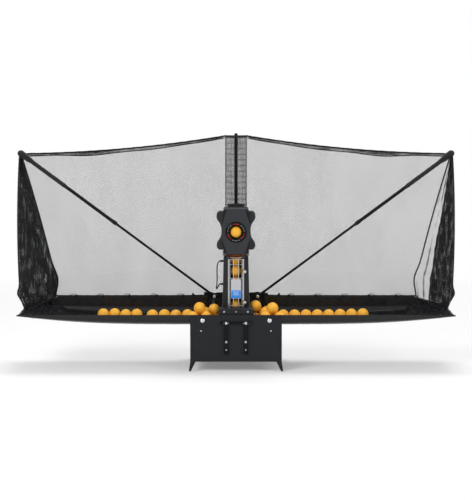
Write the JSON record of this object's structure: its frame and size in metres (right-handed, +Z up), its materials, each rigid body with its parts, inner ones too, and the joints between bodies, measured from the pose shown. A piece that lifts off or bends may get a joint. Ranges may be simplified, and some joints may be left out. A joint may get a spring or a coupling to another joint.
{
  "type": "table tennis robot",
  "caption": "Ball throwing machine with a feed tower, a tilting two-wheel head, folding ball trays and a catch net on telescopic rods.",
  "frame": {"origin": "on the floor, below the middle of the whole robot's bounding box", "axes": "+Z up, -Y towards the table that the nozzle faces, +X towards the right tray as seen from that table"},
  "size_m": [1.5076, 0.2658, 0.796],
  "materials": {
    "base_plastic": "satin",
    "tray_plastic": "satin",
    "head_plastic": "satin",
    "cover_plastic": "satin",
    "tower_plastic": "matte",
    "gloss_black": "gloss",
    "clear_plastic": "clear",
    "amber_plastic": "gloss",
    "chrome": "polished",
    "steel": "satin",
    "ball_orange": "matte",
    "wheel_rubber": "matte",
    "label_grey": "satin",
    "knob_brown": "gloss",
    "rod_black": "satin",
    "net_nylon": "matte",
    "cable_black": "matte"
  },
  "bodies": {
    "base": {"front_plate": "base_plastic", "rear_plate": "base_plastic", "side_wall_left": "base_plastic", "side_wall_right": "base_plastic", "hopper_floor": "base_plastic", "feed_motor": "steel", "feed_hood": "base_plastic", "tray_screw_front_left": "chrome", "tray_screw_rear_left": "chrome", "tray_screw_front_right": "chrome", "tray_screw_rear_right": "chrome", "hook_bar": "chrome", "tower_channel": "tower_plastic", "tower_casing": "tower_plastic", "tower_column": "tower_plastic", "drive_box": "cover_plastic", "wire_cage": "chrome", "label_plate": "label_grey", "rod_socket_left": "base_plastic", "rod_socket_right": "base_plastic", "post_socket": "base_plastic", "net_post": "rod_black", "net_back_left": "net_nylon", "net_back_right": "net_nylon", "net_side_left": "net_nylon", "net_side_right": "net_nylon", "net_sleeve": "net_nylon", "signal_cable": "cable_black", "channel_ball_1": "ball_orange", "channel_ball_2": "ball_orange", "channel_ball_3": "ball_orange", "channel_ball_4": "ball_orange", "channel_ball_5": "ball_orange"},
    "feed_wheel": {"feed_wheel": "base_plastic"},
    "adjusting_knob": {"adjusting_knob": "clear_plastic"},
    "thumb_knob_lower": {"thumb_knob_lower": "knob_brown"},
    "thumb_knob_upper": {"thumb_knob_upper": "knob_brown"},
    "pan": {"pan_yoke": "steel", "ball_funnel": "amber_plastic", "tilt_screw_left": "chrome", "tilt_screw_right": "chrome"},
    "head": {"head_housing": "cover_plastic", "head_face_plate": "head_plastic", "nozzle_ring": "gloss_black", "nozzle_tube": "gloss_black", "side_cover_left": "cover_plastic", "side_cover_right": "cover_plastic", "wheel_motor_upper": "steel", "wheel_motor_lower": "steel"},
    "throwing_wheel_upper": {"throwing_wheel_upper": "wheel_rubber"},
    "throwing_wheel_lower": {"throwing_wheel_lower": "wheel_rubber"},
    "tray_left": {"tray_left": "tray_plastic"},
    "table_hook_left": {"table_hook_left": "base_plastic"},
    "net_rod_lower_left": {"net_rod_lower_left": "rod_black"},
    "net_rod_upper_left": {"net_rod_upper_left": "rod_black"},
    "tray_right": {"tray_right": "tray_plastic", "tray_balls_right": "ball_orange"},
    "table_hook_right": {"table_hook_right": "base_plastic"},
    "net_rod_lower_right": {"net_rod_lower_right": "rod_black"},
    "net_rod_upper_right": {"net_rod_upper_right": "rod_black"}
  },
  "joints": [
    {"name": "tray_fold_left", "type": "hinge", "parent": "base", "child": "tray_left", "pos_m": [-0.113, 0.0046, 0.174], "axis": [0, 1, 0], "range_deg": [0, 90], "deforming": ["net_back_left", "net_side_left"]},
    {"name": "rod_swing_left", "type": "hinge", "parent": "base", "child": "net_rod_lower_left", "pos_m": [-0.075, 0.0546, 0.232], "axis": [0, 1, 0], "range_deg": [0, 53.41], "deforming": ["net_back_left", "net_side_left"]},
    {"name": "rod_telescope_left", "type": "slide", "parent": "net_rod_lower_left", "child": "net_rod_upper_left", "axis": [0.8018, 0, -0.5975], "range_m": [0, 0.3393], "deforming": ["net_back_left", "net_side_left"]},
    {"name": "hook_swing_left", "type": "hinge", "parent": "base", "child": "table_hook_left", "pos_m": [-0.033, -0.1269, 0.166], "axis": [-1, 0, 0], "range_deg": [0, 90]},
    {"name": "tray_fold_right", "type": "hinge", "parent": "base", "child": "tray_right", "pos_m": [0.113, 0.0046, 0.174], "axis": [0, -1, 0], "range_deg": [0, 90], "deforming": ["net_back_right", "net_side_right"]},
    {"name": "rod_swing_right", "type": "hinge", "parent": "base", "child": "net_rod_lower_right", "pos_m": [0.075, 0.0546, 0.232], "axis": [0, -1, 0], "range_deg": [0, 53.41], "deforming": ["net_back_right", "net_side_right"]},
    {"name": "rod_telescope_right", "type": "slide", "parent": "net_rod_lower_right", "child": "net_rod_upper_right", "axis": [-0.8018, 0, -0.5975], "range_m": [0, 0.3393], "deforming": ["net_back_right", "net_side_right"]},
    {"name": "hook_swing_right", "type": "hinge", "parent": "base", "child": "table_hook_right", "pos_m": [0.033, -0.1269, 0.166], "axis": [-1, 0, 0], "range_deg": [0, 90]},
    {"name": "head_pan", "type": "hinge", "parent": "base", "child": "pan", "pos_m": [0, -0.0254, 0.3783], "axis": [0, 0, 1], "range_deg": [-15, 15]},
    {"name": "head_tilt", "type": "hinge", "parent": "pan", "child": "head", "pos_m": [0, -0.0214, 0.472], "axis": [-1, 0, 0], "range_deg": [-10, 15]},
    {"name": "wheel_spin_upper", "type": "hinge", "parent": "head", "child": "throwing_wheel_upper", "pos_m": [0, -0.0654, 0.5105], "axis": [1, 0, 0], "continuous": true},
    {"name": "wheel_spin_lower", "type": "hinge", "parent": "head", "child": "throwing_wheel_lower", "pos_m": [0, -0.0654, 0.4335], "axis": [1, 0, 0], "continuous": true},
    {"name": "feed_spin", "type": "hinge", "parent": "base", "child": "feed_wheel", "pos_m": [0, -0.0834, 0.1413], "axis": [0, 0, 1], "continuous": true},
    {"name": "adjuster_turn", "type": "hinge", "parent": "base", "child": "adjusting_knob", "pos_m": [-0.046, 0.0606, 0.499], "axis": [1, 0, 0], "continuous": true},
    {"name": "thumb_turn_lower", "type": "hinge", "parent": "base", "child": "thumb_knob_lower", "pos_m": [0.0295, -0.0614, 0.228], "axis": [0, 1, 0], "continuous": true},
    {"name": "thumb_turn_upper", "type": "hinge", "parent": "base", "child": "thumb_knob_upper", "pos_m": [0.0295, -0.0614, 0.334], "axis": [0, 1, 0], "continuous": true}
  ],
  "couplings": [
    {"joint": "rod_swing_left", "follows": "tray_fold_left", "ratio": 0.5923},
    {"joint": "rod_telescope_left", "follows": "tray_fold_left", "m_per_rad": 0.21569},
    {"joint": "rod_swing_right", "follows": "tray_fold_right", "ratio": 0.5923},
    {"joint": "rod_telescope_right", "follows": "tray_fold_right", "m_per_rad": 0.21569}
  ]
}
